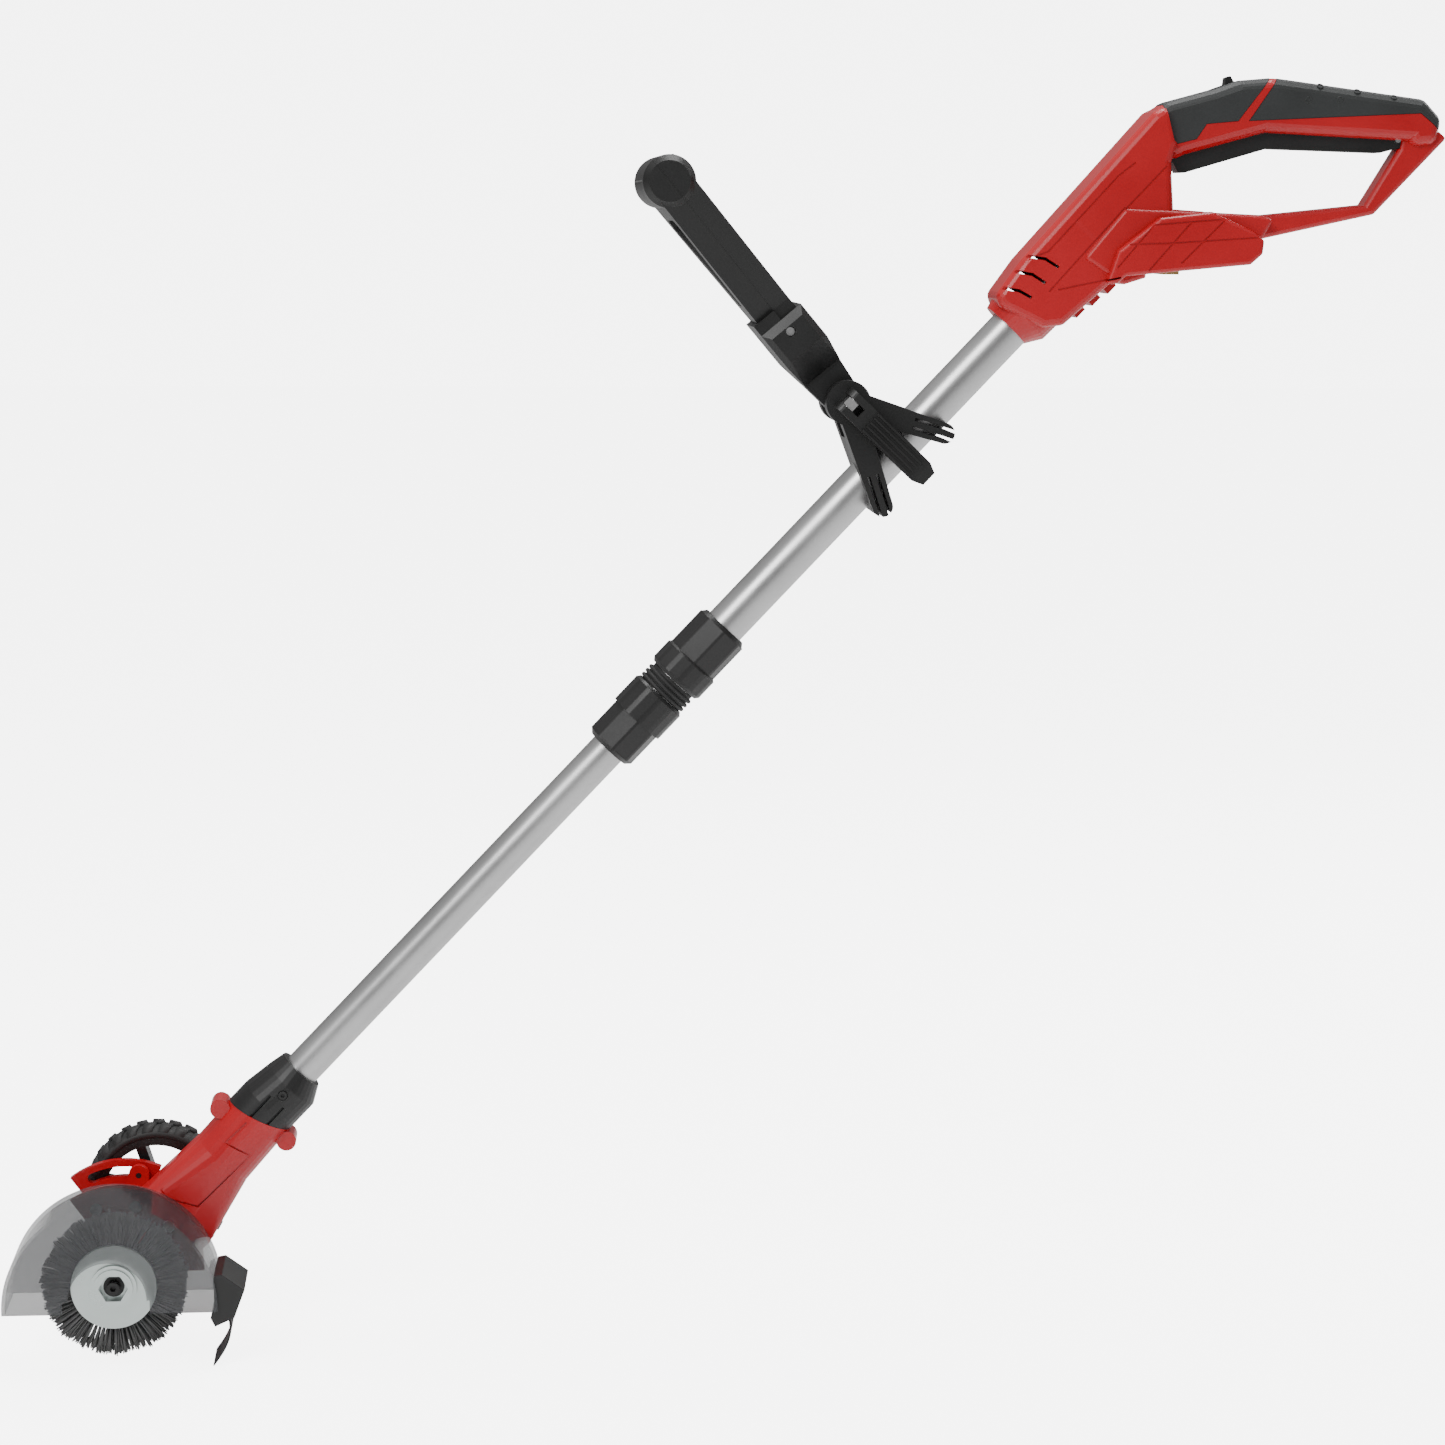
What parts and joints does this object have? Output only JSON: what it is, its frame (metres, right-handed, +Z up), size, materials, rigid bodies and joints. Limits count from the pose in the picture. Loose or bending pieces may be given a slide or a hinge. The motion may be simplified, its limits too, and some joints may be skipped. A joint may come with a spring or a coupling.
{
  "type": "brush edger",
  "caption": "Long-handled battery edge and joint cleaner with rotating brush, clear guard, guide wheel, telescopic pole, tilting front handle and rear grip.",
  "frame": {"origin": "Where the spindle axis crosses the axis of the pole, the point that the brush, the gears and the pole are set out from", "axes": "+X along the ground from the brush towards the user, +Z up in the working pose, +Y across the machine along the spindle from the brush side to the guide wheel side; the pole rises at 46.5 degrees in the XZ plane"},
  "size_m": [0.9724, 0.1405, 0.8629],
  "materials": {
    "red_shell": "moulded satin gloss",
    "black_plastic": "fine spark-eroded texture",
    "soft_grip": "soft overmould",
    "black_rubber": "matt",
    "satin_aluminium": "satin anodised",
    "bright_steel": "machined",
    "dark_steel": "blackened",
    "zinc_plate": "zinc plated",
    "brass": "plain",
    "smoke_clear": "clear smoke tinted",
    "bristle": "abrasive nylon filaments"
  },
  "bodies": {
    "handle": {"handle_shell_left": "red_shell", "handle_shell_right": "red_shell", "front_grip": "soft_grip", "rear_grip": "soft_grip", "handle_screws": "bright_steel", "trigger_pin": "bright_steel", "trigger_spring": "bright_steel", "power_switch": "black_plastic", "battery_terminal": "black_plastic", "battery_contacts": "brass", "upper_tube": "satin_aluminium", "tube_bolt": "bright_steel", "lock_collar": "black_plastic", "lock_seal": "black_rubber", "collet": "black_plastic"},
    "trigger": {"trigger": "black_plastic"},
    "lock_button": {"lock_button": "black_plastic"},
    "lock_nut": {"lock_nut": "black_plastic"},
    "lower": {"lower_tube": "satin_aluminium", "neck_collar": "black_plastic", "neck_screw": "bright_steel", "head_shell_left": "red_shell", "head_shell_right": "red_shell", "head_screws": "bright_steel", "motor_can": "bright_steel", "motor_magnets": "bright_steel", "motor_cap": "black_plastic", "spindle_bearings": "bright_steel", "backing_plate": "red_shell", "guard": "smoke_clear", "guard_screws": "bright_steel", "flap_clip": "black_plastic", "flap": "black_rubber", "arm_bolt": "black_plastic"},
    "rotor": {"armature": "bright_steel", "pinion": "brass"},
    "brush": {"spindle": "bright_steel", "crown_gear": "brass", "inner_flange": "zinc_plate", "bristle_ring": "bristle", "outer_flange": "zinc_plate", "brush_screw": "dark_steel"},
    "wheel_arm": {"wheel_arm": "red_shell", "wheel_axle": "bright_steel"},
    "wheel": {"wheel_rim": "black_plastic", "wheel_tyre": "black_rubber", "hub_cap": "black_plastic"},
    "clamp": {"clamp_left": "black_plastic", "clamp_right": "black_plastic", "clamp_bolt": "bright_steel", "lever_pin": "bright_steel"},
    "clamp_lever": {"clamp_lever": "black_plastic"},
    "front_handle": {"handle_socket": "black_plastic", "loop_front": "black_plastic", "loop_back": "black_plastic", "socket_screws": "bright_steel"}
  },
  "joints": [
    {"name": "trigger_press", "type": "hinge", "parent": "handle", "child": "trigger", "pos_m": [0.86487, 0, 0.76466], "axis": [0, 1, 0], "range_deg": [0, 3.5], "stiffness_Nm_per_rad": 1.5, "springref_deg": -20.05},
    {"name": "lock_button_slide", "type": "slide", "parent": "handle", "child": "lock_button", "axis": [-0.9403, 0, -0.3404], "range_m": [0, 0.005], "stiffness_N_per_m": 300, "springref_m": -0.003},
    {"name": "pole_slide", "type": "slide", "parent": "handle", "child": "lower", "axis": [0.6884, 0, 0.7254], "range_m": [0, 0.24]},
    {"name": "lock_nut_twist", "type": "hinge", "parent": "handle", "child": "lock_nut", "pos_m": [0.34418, 0, 0.36269], "axis": [0.6884, 0, 0.7254], "range_deg": [0, 90]},
    {"name": "brush_spin", "type": "hinge", "parent": "lower", "child": "brush", "pos_m": [0, 0, 0], "axis": [0, 1, 0], "continuous": true},
    {"name": "rotor_spin", "type": "hinge", "parent": "lower", "child": "rotor", "pos_m": [0, 0, 0], "axis": [0.6884, 0, 0.7254], "continuous": true},
    {"name": "wheel_height", "type": "hinge", "parent": "lower", "child": "wheel_arm", "pos_m": [0, 0, 0], "axis": [0, 1, 0], "range_deg": [0, 34]},
    {"name": "wheel_roll", "type": "hinge", "parent": "wheel_arm", "child": "wheel", "pos_m": [0.021, 0.045, 0.034], "axis": [0, 1, 0], "continuous": true},
    {"name": "clamp_slide", "type": "slide", "parent": "handle", "child": "clamp", "axis": [0.6884, 0, 0.7254], "range_m": [-0.11, 0.04]},
    {"name": "front_handle_tilt", "type": "hinge", "parent": "clamp", "child": "front_handle", "pos_m": [0.49319, 0, 0.58799], "axis": [0, 1, 0], "range_deg": [-35, 30]},
    {"name": "clamp_lever_swing", "type": "hinge", "parent": "clamp", "child": "clamp_lever", "pos_m": [0.49319, -0.035, 0.58799], "axis": [-0.6884, 0, -0.7254], "range_deg": [0, 100]}
  ],
  "couplings": [
    {"joint": "rotor_spin", "follows": "brush_spin", "ratio": 4}
  ]
}
